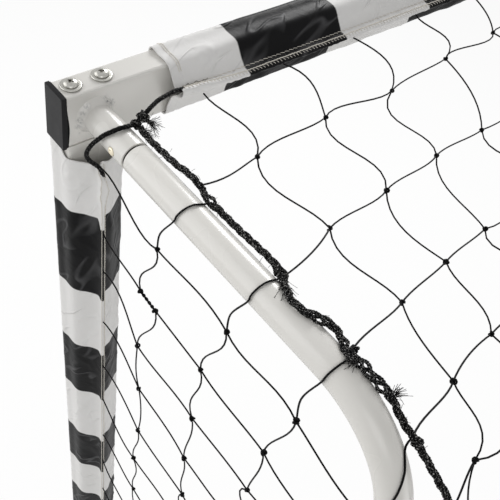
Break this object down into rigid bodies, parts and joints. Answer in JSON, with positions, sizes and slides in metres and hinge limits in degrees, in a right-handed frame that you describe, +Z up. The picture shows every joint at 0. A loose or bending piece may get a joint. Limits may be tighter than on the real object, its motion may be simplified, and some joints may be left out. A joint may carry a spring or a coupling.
{
  "type": "soccer goal",
  "caption": "Free-standing steel soccer goal with rectangular crossbar and posts, round depth and ground tubes, striped fabric sleeves, rope and a knotted net.",
  "frame": {"origin": "on the ground, in the middle of the goal's width and depth", "axes": "+X along the crossbar, +Y out of the mouth, +Z up"},
  "size_m": [2.4094, 0.9, 1.6064],
  "materials": {
    "powder_coat": "satin off-white powder coat",
    "black_plastic": "matte moulded",
    "zinc_plate": "dull bright zinc",
    "yellow_zinc_plate": "pale yellow zinc",
    "spring_steel": "bare spring steel",
    "sleeve_fabric": "coated fabric in white and black stripes",
    "braided_rope": "braided polypropylene",
    "net_twine": "twisted knotted twine"
  },
  "bodies": {
    "frame": {"crossbar_left": "powder_coat", "crossbar_right": "powder_coat", "crossbar_coupler": "powder_coat", "post_left": "powder_coat", "top_stub_left": "powder_coat", "bottom_stub_left": "powder_coat", "depth_tube_left": "powder_coat", "side_ground_tube_left": "powder_coat", "leg_stub_left": "powder_coat", "rear_ground_tube_left": "powder_coat", "post_right": "powder_coat", "top_stub_right": "powder_coat", "bottom_stub_right": "powder_coat", "depth_tube_right": "powder_coat", "side_ground_tube_right": "powder_coat", "leg_stub_right": "powder_coat", "rear_ground_tube_right": "powder_coat", "crossbar_cap_left": "black_plastic", "post_foot_plug_left": "black_plastic", "crossbar_cap_right": "black_plastic", "post_foot_plug_right": "black_plastic", "corner_bolt_left_outer": "zinc_plate", "corner_washer_left_outer": "zinc_plate", "corner_bolt_left_inner": "zinc_plate", "corner_washer_left_inner": "zinc_plate", "corner_bolt_right_outer": "zinc_plate", "corner_washer_right_outer": "zinc_plate", "corner_bolt_right_inner": "zinc_plate", "corner_washer_right_inner": "zinc_plate", "post_nut_plate_left": "zinc_plate", "post_nut_plate_right": "zinc_plate", "snap_spring_top_left": "spring_steel", "snap_spring_top_right": "spring_steel", "snap_spring_foot_left": "spring_steel", "snap_spring_foot_right": "spring_steel", "snap_spring_leg_left": "spring_steel", "snap_spring_leg_right": "spring_steel", "snap_spring_corner_left": "spring_steel", "snap_spring_corner_right": "spring_steel", "snap_spring_middle": "spring_steel", "crossbar_sleeve": "sleeve_fabric", "post_sleeve_left": "sleeve_fabric", "post_sleeve_right": "sleeve_fabric", "border_rope": "braided_rope", "side_rope_left": "braided_rope", "side_rope_right": "braided_rope", "roof_net": "net_twine", "back_net": "net_twine", "side_net_left": "net_twine", "side_net_right": "net_twine"},
    "snap_button_top_left": {"snap_button_top_left": "yellow_zinc_plate"},
    "snap_button_top_right": {"snap_button_top_right": "yellow_zinc_plate"},
    "snap_button_foot_left": {"snap_button_foot_left": "yellow_zinc_plate"},
    "snap_button_foot_right": {"snap_button_foot_right": "yellow_zinc_plate"},
    "snap_button_leg_left": {"snap_button_leg_left": "yellow_zinc_plate"},
    "snap_button_leg_right": {"snap_button_leg_right": "yellow_zinc_plate"},
    "snap_button_corner_left": {"snap_button_corner_left": "yellow_zinc_plate"},
    "snap_button_corner_right": {"snap_button_corner_right": "yellow_zinc_plate"},
    "snap_button_middle": {"snap_button_middle": "yellow_zinc_plate"}
  },
  "joints": [
    {"name": "snap_button_top_left_press", "type": "slide", "parent": "frame", "child": "snap_button_top_left", "axis": [1, 0, 0], "range_m": [0, 0.004], "stiffness_N_per_m": 1500, "springref_m": -0.001},
    {"name": "snap_button_top_right_press", "type": "slide", "parent": "frame", "child": "snap_button_top_right", "axis": [-1, 0, 0], "range_m": [0, 0.004], "stiffness_N_per_m": 1500, "springref_m": -0.001},
    {"name": "snap_button_foot_left_press", "type": "slide", "parent": "frame", "child": "snap_button_foot_left", "axis": [1, 0, 0], "range_m": [0, 0.004], "stiffness_N_per_m": 1500, "springref_m": -0.001},
    {"name": "snap_button_foot_right_press", "type": "slide", "parent": "frame", "child": "snap_button_foot_right", "axis": [-1, 0, 0], "range_m": [0, 0.004], "stiffness_N_per_m": 1500, "springref_m": -0.001},
    {"name": "snap_button_leg_left_press", "type": "slide", "parent": "frame", "child": "snap_button_leg_left", "axis": [-1, 0, 0], "range_m": [0, 0.004], "stiffness_N_per_m": 1500, "springref_m": -0.001},
    {"name": "snap_button_leg_right_press", "type": "slide", "parent": "frame", "child": "snap_button_leg_right", "axis": [1, 0, 0], "range_m": [0, 0.004], "stiffness_N_per_m": 1500, "springref_m": -0.001},
    {"name": "snap_button_corner_left_press", "type": "slide", "parent": "frame", "child": "snap_button_corner_left", "axis": [0, -1, 0], "range_m": [0, 0.004], "stiffness_N_per_m": 1500, "springref_m": -0.001},
    {"name": "snap_button_corner_right_press", "type": "slide", "parent": "frame", "child": "snap_button_corner_right", "axis": [0, -1, 0], "range_m": [0, 0.004], "stiffness_N_per_m": 1500, "springref_m": -0.001},
    {"name": "snap_button_middle_press", "type": "slide", "parent": "frame", "child": "snap_button_middle", "axis": [0, -1, 0], "range_m": [0, 0.004], "stiffness_N_per_m": 1500, "springref_m": -0.001}
  ]
}
